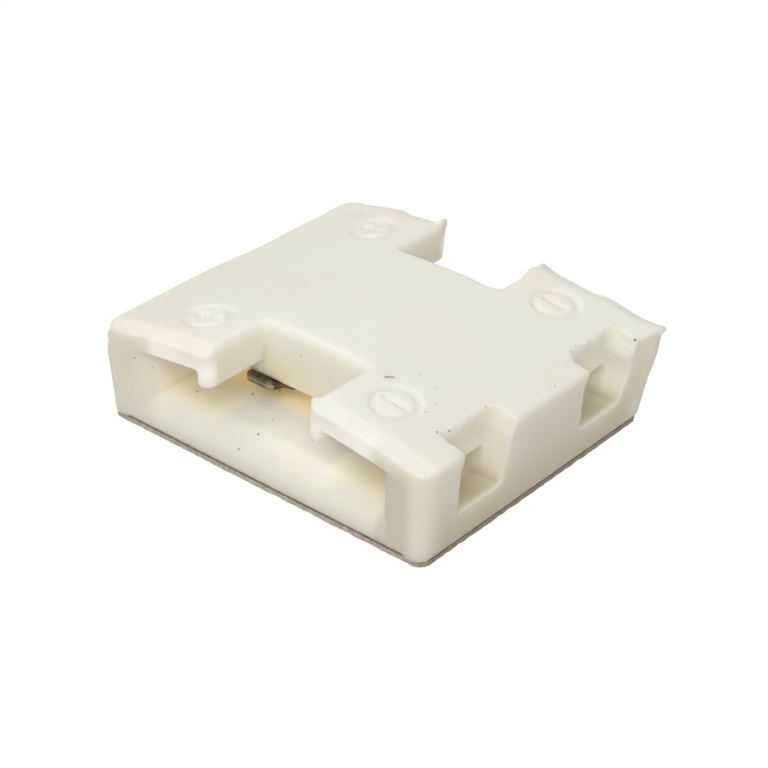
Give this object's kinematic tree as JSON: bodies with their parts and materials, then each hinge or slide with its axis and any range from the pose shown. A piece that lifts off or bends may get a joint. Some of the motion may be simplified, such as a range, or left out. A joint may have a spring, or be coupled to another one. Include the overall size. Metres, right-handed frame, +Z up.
{
  "type": "led strip connector",
  "caption": "Low push-in connector that joins two flat LED strips end to end: a bridge over an open-ended slot, spring contacts, polarity-marked tabs and an adhesive base.",
  "frame": {"origin": "centre of the underside, on the face of the liner that rests on a bench", "axes": "+X across the strips towards the negative side, +Y along the strips towards the back end, +Z up through the crowned top"},
  "size_m": [0.015, 0.013, 0.0047],
  "materials": {
    "nylon": "natural milky nylon, satin, slightly translucent",
    "contact_metal": "tinned bronze, dull grey-brown",
    "adhesive": "grey acrylic adhesive",
    "liner": "grey release paper"
  },
  "bodies": {
    "root": {"housing": "nylon", "contact_positive": "contact_metal", "contact_negative": "contact_metal", "adhesive_pad": "adhesive", "release_liner": "liner"}
  },
  "joints": []
}
